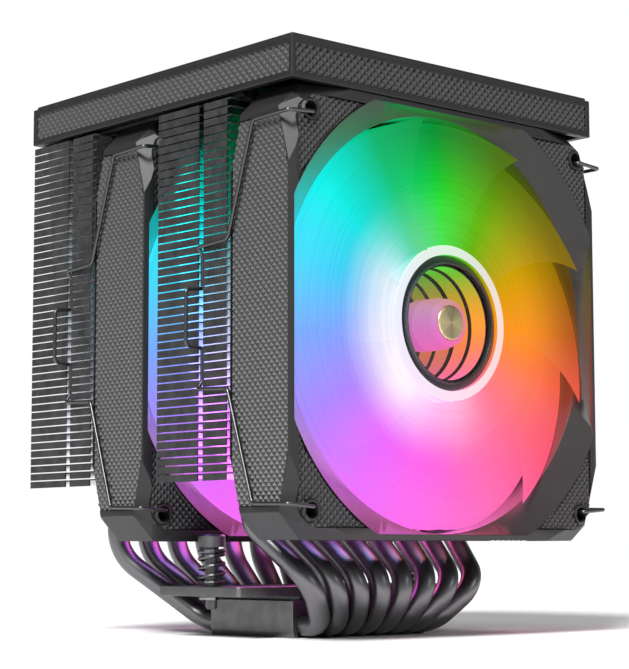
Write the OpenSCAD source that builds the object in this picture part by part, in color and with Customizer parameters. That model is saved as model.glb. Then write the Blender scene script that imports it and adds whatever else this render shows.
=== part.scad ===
// Twin-tower processor cooler.
// Two fin towers stand on eight bent heat pipes, with one 120 mm lit fan in front of
// each tower, a deep textured top cover, wire fan clips and a sprung mounting bar.
// Origin: centre of the base block's contact face.  +Z is up and both fans blow
// towards +Y, so the front of the cooler faces -Y.  All sizes are in millimetres.

/* [Display] */

// Sub-part to build; "all" builds the whole cooler

/* [Fans] */

// Height and width of each fan frame
fan_size = 120; // [119:0.5:121]
// Depth of each fan frame
fan_depth = 25; // [24.8:0.1:25.2]
// Distance between neighbouring fan screw holes
fan_hole_pitch = 105; // [104:0.5:105]
// Radius of the fan screw holes
fan_hole_r = 2.15; // [2:0.05:2.3]
// Radius of the round air passage
throat_r = 58.3; // [58:0.1:58.4]
// Radius swept by the blade tips
blade_tip_r = 57.2; // [55:0.1:57.4]
// Number of blades on each rotor
blade_count = 9; // [5:1:11]
// Blade angle measured from the plane of rotation
blade_pitch = 33; // [25:1:38]
// Radius of the rotor hub
hub_r = 21.7; // [21.4:0.1:22.5]
// Height of the fan centres above the contact face
fan_centre_z = 87; // [86.5:0.1:87.2]
// Front face of the front fan, measured from the base centre
front_fan_y = -56.4; // [-57:0.1:-56.2]
// Distance from one fan and tower pair to the next
pair_pitch = 62.3; // [62:0.1:63]

/* [Towers] */

// Number of fins in each tower
fin_count = 45; // [20:1:45]
// Distance from one fin to the next
fin_pitch = 2.3; // [2.1:0.05:2.3]
// Thickness of the fin sheet
fin_t = 0.4; // [0.3:0.05:0.5]
// Width of each tower
tower_w = 118.4; // [110:0.2:118.4]
// Depth of each tower in the direction of the air
tower_d = 32.2; // [30:0.2:33]
// Lowest edge of the fins above the contact face
tower_z = 42.9; // [42:0.1:44]

/* [Heat pipes] */

// Outer radius of a heat pipe
pipe_r = 3; // [2.8:0.05:3]
// Distance between pipes inside the base
pipe_pitch_low = 6.2; // [6.1:0.05:6.4]
// Distance between pipes inside the towers
pipe_pitch_high = 11; // [10:0.2:11.4]

/* [Base] */

// Size of the base block across the pipes
base_w = 52; // [51:0.5:56]
// Size of the base block along the pipes
base_d = 36.4; // [34:0.2:37]
// Height of the base block
base_h = 10.4; // [10:0.1:11]
// Length of the mounting bar
bar_w = 90.8; // [88:0.2:96]
// Thickness of the mounting bar
bar_t = 2.7; // [2:0.1:3]
// Distance of each sprung screw from the centre
screw_x = 40.3; // [39:0.1:41]

/* [Cover] */

// Width of the top cover
cover_w = 118.4; // [118:0.2:120]
// Depth of the top cover
cover_d = 120.5; // [120:0.1:121]
// Height of the top cover
cover_h = 12.1; // [11:0.1:13]

/* [Hidden] */

$fn = 48;
eps = 0.01;

// Fan details, in the fan's own frame: x right, y from front to back, z up.
fan_half = fan_size / 2;
hole_at = fan_hole_pitch / 2;
corner_cut = 7;
face_half = fan_half - 2;
rim_side = 0.6;
rim_corner = 4.5;
mouth_r = 65.6;
mouth_d = 5.2;
mouth_half = 58.5;
pad_half = 56.9;
pad_cut = 4.4;
pad_t = 0.9;
pad_drop = 0.5;
grip_t = 0.8;
grip_drop = 0.15;
rear_fan_y = front_fan_y + pair_pitch;
tip_gap_y = 0.8;
blade_t = 1.3;
blade_depth = 18.6;
hub_front = 1;
hub_back = 20.6;
hub_wall = 1.5;
cup_r = 16.3;
cup_wall = 0.6;
cup_floor_y = 9.4;
boss_r = 6.6;
cap_r = 5;
shaft_r = 1.5;
running_gap = 0.03;
magnet_in_r = 17.9;
stator_r = 17.5;
base_disc_y = 22.2;
strut_count = 4;

// Towers
front_tower_y = front_fan_y + fan_depth + 0.2;
rear_tower_y = front_tower_y + pair_pitch;
tower_mid = tower_d / 2;
flange_gap = 0.35;
flange_h = fin_pitch - flange_gap;
flange_front = 1.8;
slot_from = 11.8;
slot_w = 2.2;
slot_deep = 1.9;
pipe_hole_r = pipe_r + 0.04;
tower_top = tower_z + flange_h + (fin_count - 1) * fin_pitch;

// Pipes
pipe_count = 8;
pipe_low_z = 3.5;
pipe_top_z = tower_top + 4.2;
sole_w = 4.4;
bend_front = 8.6;
bend_rear = 14;

// Base, bar and sprung screws
base_chamfer = 1.9;
pedestal_h = 1.2;
bar_z = base_h + pedestal_h;
bar_top = bar_z + bar_t;
bar_screw_at = [19, 12];
screw_shank_r = 2;
screw_tip_r = 1.65;
screw_hole_r = 2.4;
screw_head_r = 3.85;
screw_head_h = 3.8;
spring_top = 25;
spring_wire_r = 0.55;
spring_r = 3.45;
spring_turns = 5;
coil_steps = 18;
coil_sides = 6;
coil_low = bar_top + spring_wire_r + 0.05;
coil_rise = spring_top - 2 * spring_wire_r - bar_top - 0.1;
ring_z = bar_z - 1.0;
ring_t = 0.7;
groove_r = 1.3;
screw_tip_z = 8.6;

// Cover
cover_z = fan_centre_z + fan_half + 0.25;
cover_front = front_fan_y + 0.2;
cover_mid_y = cover_front + cover_d / 2;
cover_wall = 2.4;
cover_roof = 2.4;
cover_edge = 1.5;
cover_grip_t = 0.6;
cover_grip_drop = 0.35;
cover_grip_low = 1.8;
cover_grip_high = 2.9;
bracket_z = cover_z - 0.1;
bracket_t = 1;
post_at = [46, 8];

// Clips
wire_r = 0.55;
clip_bend = 1.6;
hook_y = -0.95;

// Colours
ink = [0.10, 0.10, 0.11];
graphite = [0.17, 0.17, 0.18];
steel = [0.32, 0.32, 0.34];
frosted = [0.86, 0.90, 0.92, 0.85];
brass = [0.70, 0.62, 0.42];
copper = [0.72, 0.42, 0.25];
board_green = [0.07, 0.20, 0.12];

// ---------- small helpers ----------

function unit(v) = v / norm(v);

// Any unit vector square to v
function side_of(v) = abs(v.x) < 0.9 ? unit(cross([1, 0, 0], v)) : unit(cross([0, 1, 0], v));

// Places children with their x, y and z axes along a, b and c, at point p
module in_frame(a, b, c, p) {
    multmatrix([
        [a.x, b.x, c.x, p.x],
        [a.y, b.y, c.y, p.y],
        [a.z, b.z, c.z, p.z],
        [0, 0, 0, 1]
    ]) children();
}

// Flat shape drawn in x and z, extruded towards the back from y0
module slab_y(y0, depth) {
    translate([0, y0 + depth, 0])
        rotate([90, 0, 0])
            linear_extrude(height = depth) children();
}

// Flat shape drawn in y and z, extruded towards +x from x0
module slab_x(x0, depth) {
    in_frame([0, 1, 0], [0, 0, 1], [1, 0, 0], [x0, 0, 0])
        linear_extrude(height = depth) children();
}

// Round bar or cone along y
module round_y(y0, depth, r_front, r_back) {
    translate([0, y0, 0])
        rotate([-90, 0, 0])
            cylinder(h = depth, r1 = r_front, r2 = r_back);
}

// Ring along y
module ring_y(y0, depth, r_out, r_in) {
    difference() {
        round_y(y0, depth, r_out, r_out);
        round_y(y0 - 1, depth + 2, r_in, r_in);
    }
}

module mirror_copy(v) {
    children();
    mirror(v) children();
}

// Straight round bar from a to b
module rod(a, b, r) {
    c = unit(b - a);
    s = side_of(c);
    in_frame(s, cross(c, s), c, a)
        cylinder(h = norm(b - a), r = r);
}

// Length cut from each leg by a bend at corner b
function trim(a, b, c, bend) =
    bend * tan(acos(min(1, unit(b - a) * unit(c - b))) / 2);

// Round bend joining the legs a-b and b-c
module elbow(a, b, c, r, bend) {
    u = unit(b - a);
    v = unit(c - b);
    turn = acos(u * v);
    inward = unit(v - u * (u * v));
    centre = b - u * trim(a, b, c, bend) + inward * bend;
    in_frame(-inward, u, cross(-inward, u), centre)
        rotate_extrude(angle = turn)
            translate([bend, 0]) circle(r);
}

// Bent round bar through the points pts; bends holds one radius per inner corner.
// Each leg runs a short way into the bends, which are thicker by a hair.
function bite(bend) = min(0.3, 0.12 * bend);

module bent_rod(pts, r, bends) {
    last = len(pts) - 1;
    for (i = [0 : last - 1]) {
        dir = unit(pts[i + 1] - pts[i]);
        from = i == 0 ? 0
            : trim(pts[i - 1], pts[i], pts[i + 1], bends[i - 1]) - bite(bends[i - 1]);
        to = i == last - 1 ? 0
            : trim(pts[i], pts[i + 1], pts[i + 2], bends[i]) - bite(bends[i]);
        rod(pts[i] + dir * from, pts[i + 1] - dir * to, r);
        if (i < last - 1)
            elbow(pts[i], pts[i + 1], pts[i + 2], r + 0.02, bends[i]);
    }
}

// ---------- base, bar and screws ----------

function pipe_low_x(i) = (i - (pipe_count + 1) / 2) * pipe_pitch_low;
function pipe_high_x(i) = (i - (pipe_count + 1) / 2) * pipe_pitch_high;

module base_block() {
    color(graphite)
    difference() {
        union() {
            // Block with its two lower long edges chamfered
            slab_y(-base_d / 2, base_d)
                polygon([
                    [-base_w / 2 + base_chamfer / 3, 0],
                    [base_w / 2 - base_chamfer / 3, 0],
                    [base_w / 2, base_chamfer],
                    [base_w / 2, base_h],
                    [-base_w / 2, base_h],
                    [-base_w / 2, base_chamfer]
                ]);
            translate([-22, -base_d / 2 + 1.6, base_h - eps])
                cube([44, base_d - 3.2, pedestal_h + eps]);
        }
        // Channels for the eight pipes, open on the contact face
        for (i = [1 : pipe_count])
            translate([pipe_low_x(i), 0, 0]) {
                translate([0, 0, pipe_low_z])
                    round_y(-base_d, 2 * base_d, pipe_r + 0.02, pipe_r + 0.02);
                translate([-sole_w / 2 - 0.02, -base_d, -1])
                    cube([sole_w + 0.04, 2 * base_d, 3.2]);
            }
        bar_screw_places() translate([0, 0, 7]) cylinder(h = 10, r = 1.45);
    }
}

module bar_screw_places() {
    for (x = [-1, 1], y = [-1, 1])
        translate([x * bar_screw_at[0], y * bar_screw_at[1], 0]) children();
}

module mounting_bar() {
    color(graphite)
    difference() {
        translate([0, 0, bar_z])
            linear_extrude(height = bar_t)
                polygon([
                    [-bar_w / 2, -17.2], [-bar_w / 2 + 0.8, -18],
                    [bar_w / 2 - 0.8, -18], [bar_w / 2, -17.2],
                    [bar_w / 2, 17.2], [bar_w / 2 - 0.8, 18],
                    [-bar_w / 2 + 0.8, 18], [-bar_w / 2, 17.2]
                ]);
        mirror_copy([1, 0, 0])
            translate([screw_x, 0, bar_z - 1]) cylinder(h = bar_t + 2, r = screw_hole_r);
        bar_screw_places() {
            translate([0, 0, bar_z - 1]) cylinder(h = bar_t + 2, r = 1.65);
            translate([0, 0, bar_top - 1.4]) cylinder(h = 1.41, r1 = 1.65, r2 = 3);
        }
    }
}

module bar_screws() {
    color(steel)
    bar_screw_places()
        difference() {
            union() {
                translate([0, 0, 7.4]) cylinder(h = bar_top - 8.6, r = 1.42);
                translate([0, 0, bar_top - 1.35]) cylinder(h = 1.3, r1 = 1.6, r2 = 2.9);
            }
            translate([0, 0, bar_top - 0.9]) cylinder(h = 2, r = 1.1, $fn = 6);
        }
}

// Sprung captive screw: slotted cap, shank, groove for the ring and threaded tip
module spring_screw() {
    color(ink)
    difference() {
        union() {
            translate([0, 0, spring_top + 0.3]) cylinder(h = screw_head_h - 0.8, r = screw_head_r);
            translate([0, 0, spring_top + screw_head_h - 0.5 - eps])
                cylinder(h = 0.5, r1 = screw_head_r, r2 = screw_head_r - 0.5);
            translate([0, 0, ring_z + ring_t])
                cylinder(h = spring_top + 0.4 - ring_z - ring_t, r = screw_shank_r);
            translate([0, 0, ring_z - 0.1]) cylinder(h = ring_t + 0.2, r = groove_r);
            translate([0, 0, screw_tip_z]) cylinder(h = ring_z - screw_tip_z, r = screw_tip_r);
            translate([0, 0, screw_tip_z - 0.6]) cylinder(h = 0.61, r1 = 1.2, r2 = screw_tip_r);
        }
        // Crossed driver slots in the cap
        for (a = [0, 90])
            translate([0, 0, spring_top + screw_head_h - 1.4])
                rotate([0, 0, a]) translate([-2.6, -0.5, 0]) cube([5.2, 1, 3]);
    }
}

// Split ring under the bar that keeps the screw captive
module retaining_ring() {
    color(steel)
    translate([0, 0, ring_z])
        difference() {
            cylinder(h = ring_t, r = 3.4);
            translate([0, 0, -1]) cylinder(h = ring_t + 2, r = groove_r + running_gap);
            translate([-1.2, -4, -1]) cube([2.4, 4, ring_t + 2]);
        }
}

// One ring of points round the spring wire, at step k of its coil
function coil_ring(k) =
    let (a = 360 * k / coil_steps,
         t = k / (coil_steps * spring_turns),
         z = coil_low + coil_rise * (0.08 * min(1, t * spring_turns)
             + 0.84 * max(0, min(1, (t * spring_turns - 1) / (spring_turns - 2)))
             + 0.08 * max(0, t * spring_turns - spring_turns + 1)))
    [for (s = [0 : coil_sides - 1])
        let (b = 360 * s / coil_sides, r = spring_r + spring_wire_r * cos(b))
        [r * cos(a), r * sin(a), z + spring_wire_r * sin(b)]];

module coil_spring() {
    rings = coil_steps * spring_turns;
    pts = [for (k = [0 : rings]) each coil_ring(k)];
    sides = [for (k = [0 : rings - 1], s = [0 : coil_sides - 1])
        let (n = (s + 1) % coil_sides)
        each [
            [k * coil_sides + s, k * coil_sides + n, (k + 1) * coil_sides + n],
            [k * coil_sides + s, (k + 1) * coil_sides + n, (k + 1) * coil_sides + s]
        ]];
    ends = [
        [for (s = [coil_sides - 1 : -1 : 0]) s],
        [for (s = [0 : coil_sides - 1]) rings * coil_sides + s]
    ];
    color(ink)
    polyhedron(points = pts, faces = concat(sides, ends), convexity = 8);
}

module at_screw(side) {
    translate([side * screw_x, 0, 0]) children();
}

// ---------- heat pipes ----------

// One pipe from the top of the front tower, round under the base, to the rear tower
module heat_pipe(i) {
    low = pipe_low_x(i);
    high = pipe_high_x(i);
    front_y = front_tower_y + tower_mid;
    rear_y = rear_tower_y + tower_mid;
    color(ink) {
        bent_rod([
            [high, front_y, pipe_top_z],
            [high, front_y, 31.5],
            [low + (high - low) * 0.62, -33.5, 15],
            [low, -25.5, pipe_low_z],
            [low, 24.6, pipe_low_z],
            [high, rear_y, 23.5],
            [high, rear_y, pipe_top_z]
        ], pipe_r, [bend_front, bend_front, bend_front, bend_rear, bend_rear]);
        // Pressed flat against the processor
        translate([low - sole_w / 2, -base_d / 2 + 0.1, 0])
            cube([sole_w, base_d - 0.2, 2]);
        // Pinched and sealed ends
        for (y = [front_y, rear_y])
            translate([high, y, pipe_top_z - 0.2])
                cylinder(h = 1.8, r1 = pipe_r - 0.1, r2 = 1.2);
    }
}

// ---------- fin towers ----------

// One fin: sheet with pipe holes, clip notches and folded side walls
module fin() {
    difference() {
        translate([-tower_w / 2, 0, flange_h - fin_t]) cube([tower_w, tower_d, fin_t]);
        for (i = [1 : pipe_count])
            translate([pipe_high_x(i), tower_mid, 0]) cylinder(h = 3 * fin_pitch, r = pipe_hole_r);
        mirror_copy([1, 0, 0])
            translate([tower_w / 2 - slot_deep, slot_from, 0]) cube([slot_deep + 1, slot_w, 3 * fin_pitch]);
    }
    mirror_copy([1, 0, 0])
        translate([tower_w / 2 - fin_t, 0, 0]) {
            translate([0, flange_front, 0])
                cube([fin_t, slot_from - flange_front, flange_h - fin_t / 2]);
            translate([0, slot_from + slot_w, 0])
                cube([fin_t, tower_d - slot_from - slot_w, flange_h - fin_t / 2]);
        }
}

module fin_stack(y0) {
    color(graphite)
    for (k = [0 : fin_count - 1])
        translate([0, y0, tower_z + k * fin_pitch]) fin();
}

// ---------- top cover ----------

module post_places() {
    for (x = [-1, 1], y = [front_tower_y + post_at[1], rear_tower_y + tower_d - post_at[1]])
        translate([x * post_at[0], y, 0]) children();
}

// Plate that lies on both towers and carries the cover
module cover_bracket() {
    color(steel)
    difference() {
        union() {
            translate([-54, front_tower_y + 1, bracket_z])
                cube([108, rear_tower_y + tower_d - front_tower_y - 3, bracket_t]);
            // Feet that stand on the top fin of each tower
            for (y = [front_tower_y, rear_tower_y], dy = [2.5, tower_d - 6.5])
                translate([-50, y + dy, tower_top + 0.05])
                    cube([100, 4, bracket_z - tower_top]);
        }
        for (i = [1 : pipe_count], y = [front_tower_y, rear_tower_y])
            translate([pipe_high_x(i), y + tower_mid, bracket_z - 1])
                cylinder(h = bracket_t + 2, r = pipe_r + 0.3);
        // Windows that save weight between the towers
        for (x = [-36, 0, 36])
            translate([x - 14, front_tower_y + tower_d, bracket_z - 1]) cube([28, 26, bracket_t + 2]);
        post_places() translate([0, 0, tower_top]) cylinder(h = 4, r = 1.7);
    }
}

module cover_screws() {
    color(steel)
    post_places() {
        translate([0, 0, bracket_z + bracket_t]) cylinder(h = 1.2, r = 2.6);
        translate([0, 0, bracket_z - 0.6]) cylinder(h = bracket_t + 0.8, r = 1.45);
    }
}

// Outline of the textured panel on a cover side of length w
module cover_grip_outline(w) {
    translate([-w / 2 + cover_edge, cover_z + cover_grip_low])
        square([w - 2 * cover_edge, cover_h - cover_grip_low - cover_grip_high]);
}

module cover_shell() {
    top = cover_z + cover_h;
    color(graphite)
    difference() {
        union() {
            translate([-cover_w / 2, cover_front, cover_z]) cube([cover_w, cover_d, cover_h - 0.9]);
            // Stepped upper edge
            translate([-cover_w / 2 + 0.8, cover_front + 0.8, top - 0.9 - eps])
                cube([cover_w - 1.6, cover_d - 1.6, 0.9 + eps]);
        }
        // Hollow underside
        translate([-cover_w / 2 + cover_wall, cover_front + cover_wall, cover_z - 1])
            cube([cover_w - 2 * cover_wall, cover_d - 2 * cover_wall, cover_h - cover_roof + 1]);
        // Recesses for the side panels
        slab_y(cover_front - 1, 1 + cover_grip_t + cover_grip_drop) cover_grip_outline(cover_w);
        slab_y(cover_front + cover_d - cover_grip_t - cover_grip_drop, 4) cover_grip_outline(cover_w);
        mirror_copy([1, 0, 0])
            slab_x(cover_w / 2 - cover_grip_t - cover_grip_drop, 4)
                translate([cover_mid_y, 0]) cover_grip_outline(cover_d);
        // Recess for the top plate
        translate([-cover_w / 2 + 3, cover_front + 3, top - 1])
            cube([cover_w - 6, cover_d - 6, 2]);
    }
    // Posts that stand on the bracket
    color(graphite)
    post_places()
        translate([0, 0, bracket_z + bracket_t + 1.3])
            cylinder(h = top - cover_roof - bracket_z - bracket_t - 1.2, r = 2.6);
}

module cover_side_grips() {
    color(ink) {
        slab_y(cover_front + cover_grip_drop, cover_grip_t - 0.05) cover_grip_outline(cover_w - 0.3);
        slab_y(cover_front + cover_d - cover_grip_drop - cover_grip_t + 0.05, cover_grip_t - 0.05)
            cover_grip_outline(cover_w - 0.3);
        mirror_copy([1, 0, 0])
            slab_x(cover_w / 2 - cover_grip_drop - cover_grip_t + 0.05, cover_grip_t - 0.05)
                translate([cover_mid_y, 0]) cover_grip_outline(cover_d - 0.3);
    }
}

module cover_top_plate() {
    color(ink)
    translate([-cover_w / 2 + 3.2, cover_front + 3.2, cover_z + cover_h - 0.95])
        cube([cover_w - 6.4, cover_d - 6.4, 0.8]);
}

// ---------- fans ----------

// Square outline with equal corner cuts
module cut_square(half, cut) {
    polygon([
        [-half, -half + cut], [-half + cut, -half], [half - cut, -half], [half, -half + cut],
        [half, half - cut], [half - cut, half], [-half + cut, half], [-half, half - cut]
    ]);
}

// Solid block lying outside the plane through a, b and c
module plane_cut(a, b, c) {
    u = unit(b - a);
    n = unit(cross(u, c - a));
    in_frame(u, cross(n, u), n, a)
        translate([-60, -60, 0]) cube([120, 120, 12]);
}

// Screw hole positions on the frame
module fan_hole_places() {
    for (x = [-1, 1], z = [-1, 1])
        translate([x * hole_at, 0, z * hole_at]) children();
}

// Corner pads: inside the cut square and outside the round mouth
module pad_outline(inset) {
    difference() {
        cut_square(pad_half - inset, pad_cut + 2 * inset);
        circle(mouth_r + inset, $fn = 96);
        square([2 * fan_size, 60], center = true);
        square([60, 2 * fan_size], center = true);
        for (x = [-1, 1], z = [-1, 1])
            translate([x * hole_at, z * hole_at]) circle(fan_hole_r + 0.75 + inset);
    }
}

// Long textured panel on a frame side, drawn along the depth and the length
module grip_outline(inset) {
    polygon([
        [1 + inset, -37], [4.4 + inset, -51.4 + inset], [21.2 - inset, -51.4 + inset],
        [24.2 - inset, -40], [24.2 - inset, 40], [21.2 - inset, 51.4 - inset],
        [4.4 + inset, 51.4 - inset], [1 + inset, 37]
    ]);
}

// Turns a part made for the +x side to each of the four sides
module four_sides() {
    for (a = [0, 90, 180, 270]) rotate([0, a, 0]) children();
}

module fan_frame() {
    color(graphite)
    difference() {
        union() {
            difference() {
                slab_y(0, fan_depth) cut_square(fan_half, corner_cut);
                round_y(-1, fan_depth + 2, throat_r, throat_r);
                // Flared inlet, kept inside the side walls
                intersection() {
                    round_y(-0.02, mouth_d, mouth_r, throat_r);
                    slab_y(-1, mouth_d + 1) square(2 * mouth_half, center = true);
                }
                // Flared outlet
                intersection() {
                    round_y(fan_depth - 3, 3.02, throat_r, 61.5);
                    slab_y(fan_depth - 4, 5) square(2 * mouth_half, center = true);
                }
                // Sloping rim round the front and the back
                four_sides() {
                    rim_slope();
                    translate([0, fan_depth, 0]) mirror([0, 1, 0]) rim_slope();
                }
                for (a = [0, 90, 180, 270]) rotate([0, a, 0]) {
                    corner_facets();
                    translate([0, fan_depth, 0]) mirror([0, 1, 0]) corner_facets();
                }
                // Pad recesses
                slab_y(-1, 1 + pad_t + pad_drop) pad_outline(0);
                // Side panel recesses
                four_sides()
                    slab_x(fan_half - grip_t - grip_drop, 4) grip_outline(0);
                fan_hole_places() round_y(-1, fan_depth + 2, fan_hole_r, fan_hole_r);
            }
            // Motor seat and the struts that carry it
            round_y(base_disc_y, fan_depth - base_disc_y - 0.3, 21, 21);
            for (k = [0 : strut_count - 1])
                rotate([0, 45 + k * 360 / strut_count, 0])
                    translate([19, base_disc_y, -2]) cube([throat_r - 17.5, 2.5, 4]);
        }
        // Seat for the bearing
        round_y(base_disc_y - 1, 2.6, 3.04, 3.04);
    }
}

// Rim slope along one side
module rim_slope() {
    translate([0, 0, -fan_half - 1])
        linear_extrude(height = fan_size + 2)
            polygon([
                [face_half, -0.01], [fan_half + 1, -0.01],
                [fan_half + 1, rim_side + 0.3], [fan_half, rim_side]
            ]);
}

// Larger slopes where the rim meets the corner
module corner_facets() {
    mirror_copy([0, 0, 1])
        intersection() {
            plane_cut([fan_half, rim_side, 38], [fan_half, rim_corner, 52], [face_half, 0, 42]);
            translate([40, -5, 20]) cube([40, 20, 60]);
        }
    intersection() {
        plane_cut([fan_half, rim_corner, fan_half - corner_cut],
            [fan_half - corner_cut, rim_corner, fan_half],
            [fan_half, 0, fan_half - corner_cut - 3]);
        translate([30, -5, 30]) cube([50, 20, 50]);
    }
}

module fan_pads() {
    color(ink)
    difference() {
        slab_y(pad_drop, pad_t - 0.02) pad_outline(0.25);
        fan_hole_places() round_y(-1, 6, fan_hole_r + 0.1, fan_hole_r + 0.1);
    }
}

module fan_grips() {
    color(ink)
    four_sides()
        slab_x(fan_half - grip_drop - grip_t + 0.02, grip_t - 0.02) grip_outline(0.2);
}

// One flat raked blade, trimmed to the annulus between hub and tip
module blade() {
    intersection() {
        ring_y(tip_gap_y, blade_depth, blade_tip_r, hub_r - 0.3);
        translate([0, tip_gap_y + blade_depth / 2, 0])
            rotate([90 - blade_pitch, 0, 0])
                translate([hub_r - 3, -blade_depth, -blade_t / 2])
                    cube([blade_tip_r, 2 * blade_depth, blade_t]);
    }
}

module fan_rotor() {
    color(frosted) {
        for (k = [0 : blade_count - 1])
            rotate([0, k * 360 / blade_count, 0]) blade();
        difference() {
            round_y(hub_front, hub_back - hub_front, hub_r, hub_r);
            // Room for the cup in front and for the magnet and motor behind
            round_y(hub_front - 1, 4, cup_r + 2.7, cup_r + 2.7);
            round_y(0, cup_floor_y + 0.8, cup_r + cup_wall + 0.05, cup_r + cup_wall + 0.05);
            round_y(cup_floor_y + 1.6, 20, hub_r - hub_wall, hub_r - hub_wall);
            round_y(0, 20, 2.6, 2.6);
        }
    }
}

// Mirror-floored cup in the middle of the hub, with its stepped boss
module hub_cup() {
    color(steel)
    difference() {
        union() {
            ring_y(hub_front + 0.2, cup_floor_y - hub_front, cup_r + cup_wall, cup_r);
            round_y(cup_floor_y - 0.6, 1.3, cup_r + cup_wall, cup_r + cup_wall);
            round_y(5.2, cup_floor_y - 5.1, boss_r + 0.5, boss_r + 0.5);
            round_y(2.6, cup_floor_y - 2.6, boss_r, boss_r);
            round_y(1.8, 2, cap_r + 0.5, boss_r - 0.2);
        }
        round_y(-1, 2.8, cap_r + 0.05, cap_r + 0.05);
        round_y(6, 10, shaft_r, shaft_r);
    }
}

module hub_cap() {
    color(brass) {
        round_y(1.2, 0.6, cap_r - 0.1, cap_r);
        round_y(0.9, 0.3 + eps, cap_r - 0.4, cap_r - 0.1);
    }
}

module fan_shaft() {
    color(steel)
    round_y(6.1, 17.2, shaft_r, shaft_r);
}

module magnet_ring() {
    color(ink)
    ring_y(11.2, 8.8, hub_r - hub_wall - 0.05, magnet_in_r);
}

// Laminated core with six wound poles
module stator() {
    color(steel)
    difference() {
        union() {
            round_y(12.2, 7.4, 5.4, 5.4);
            for (k = [0 : 5])
                rotate([0, k * 60, 0]) {
                    translate([4, 13.4, -1.6]) cube([11.4, 5, 3.2]);
                    intersection() {
                        ring_y(13.4, 5, stator_r, 14.6);
                        translate([8, 0, -6.4]) cube([12, 30, 12.8]);
                    }
                }
        }
        round_y(10, 14, 3.06, 3.06);
    }
    color(copper)
    for (k = [0 : 5])
        rotate([0, k * 60, 0])
            difference() {
                translate([7.2, 12.5, -3]) cube([6.8, 6.8, 6]);
                translate([4, 13.35, -1.65]) cube([12, 5.1, 3.3]);
            }
}

// Round circuit board with its lamps facing the blades
module fan_board() {
    color(board_green)
    ring_y(20.9, 1, 20.4, 3.3);
    color([0.95, 0.95, 0.9])
    for (k = [0 : 7])
        rotate([0, 22.5 + k * 45, 0])
            translate([17.4, 20.3, -1]) cube([1.6, 0.7, 2]);
}

module fan_bearing() {
    color(brass)
    ring_y(11.4, 12.3, 3, shaft_r + running_gap);
}

module front_fan() {
    translate([0, front_fan_y, fan_centre_z]) children();
}

module rear_fan() {
    translate([0, rear_fan_y, fan_centre_z]) children();
}

// ---------- wire clips ----------

// Clip on the +x side, drawn in the fan's frame
module clip() {
    out = fan_half + 0.95;
    lane = tower_w / 2 + 0.8;
    slot_y = fan_depth + 0.2 + slot_from + slot_w / 2;
    inside = tower_w / 2 - 0.65;
    half_path = [
        [hole_at, 2, 51.6],
        [hole_at, hook_y, 51.6],
        [out + 0.6, hook_y, 50.9],
        [out, 14, 50.6],
        [out, 24.4, 20],
        [lane, slot_y, 19.4],
        [inside, slot_y, 17.2],
        [inside, slot_y, 8.2],
        [fan_half + 4.2, slot_y, 7.6]
    ];
    half_bends = [0.7, 0.9, clip_bend, clip_bend, 0.9, 0.7, 0.7, 1.2];
    last = len(half_path) - 1;
    lower_path = [for (p = [last : -1 : 0])
        [half_path[p].x, half_path[p].y, -half_path[p].z]];
    lower_bends = [for (b = [len(half_bends) - 1 : -1 : 0]) half_bends[b]];
    color(ink)
    bent_rod(concat(half_path, lower_path), wire_r, concat(half_bends, lower_bends));
}

// ---------- build ----------

base_block();
mounting_bar();
bar_screws();
at_screw(-1) spring_screw();  // spring_screw_left
at_screw(1) spring_screw();  // spring_screw_right
at_screw(-1) coil_spring();  // spring_left
at_screw(1) coil_spring();  // spring_right
at_screw(-1) retaining_ring();  // retaining_ring_left
at_screw(1) retaining_ring();  // retaining_ring_right
heat_pipe(1);  // heat_pipe_1
heat_pipe(2);  // heat_pipe_2
heat_pipe(3);  // heat_pipe_3
heat_pipe(4);  // heat_pipe_4
heat_pipe(5);  // heat_pipe_5
heat_pipe(6);  // heat_pipe_6
heat_pipe(7);  // heat_pipe_7
heat_pipe(8);  // heat_pipe_8
fin_stack(front_tower_y);  // front_fin_stack
fin_stack(rear_tower_y);  // rear_fin_stack
cover_bracket();
cover_screws();
cover_shell();
cover_side_grips();
cover_top_plate();
front_fan() fan_frame();  // front_fan_frame
front_fan() fan_pads();  // front_fan_pads
front_fan() fan_grips();  // front_fan_grips
front_fan() fan_rotor();  // front_fan_rotor
front_fan() hub_cup();  // front_fan_hub_cup
front_fan() hub_cap();  // front_fan_hub_cap
front_fan() fan_shaft();  // front_fan_shaft
front_fan() magnet_ring();  // front_fan_magnet
front_fan() stator();  // front_fan_stator
front_fan() fan_board();  // front_fan_board
front_fan() fan_bearing();  // front_fan_bearing
rear_fan() fan_frame();  // rear_fan_frame
rear_fan() fan_pads();  // rear_fan_pads
rear_fan() fan_grips();  // rear_fan_grips
rear_fan() fan_rotor();  // rear_fan_rotor
rear_fan() hub_cup();  // rear_fan_hub_cup
rear_fan() hub_cap();  // rear_fan_hub_cap
rear_fan() fan_shaft();  // rear_fan_shaft
rear_fan() magnet_ring();  // rear_fan_magnet
rear_fan() stator();  // rear_fan_stator
rear_fan() fan_board();  // rear_fan_board
rear_fan() fan_bearing();  // rear_fan_bearing
front_fan() mirror([1, 0, 0]) clip();  // front_clip_left
front_fan() clip();  // front_clip_right
rear_fan() mirror([1, 0, 0]) clip();  // rear_clip_left
rear_fan() clip();  // rear_clip_right
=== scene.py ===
"""Visual model of a twin-tower processor cooler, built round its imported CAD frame.

Smooth pipes, wire clips, lit rotors, tiled panels and softened mouldings take the place
of the plain CAD solids; everything else keeps its CAD mesh and gets a real finish.
"""
import math

import bmesh
import bpy
from bpy.props import FloatProperty, FloatVectorProperty, IntProperty, PointerProperty
from mathutils import Matrix, Vector


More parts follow.
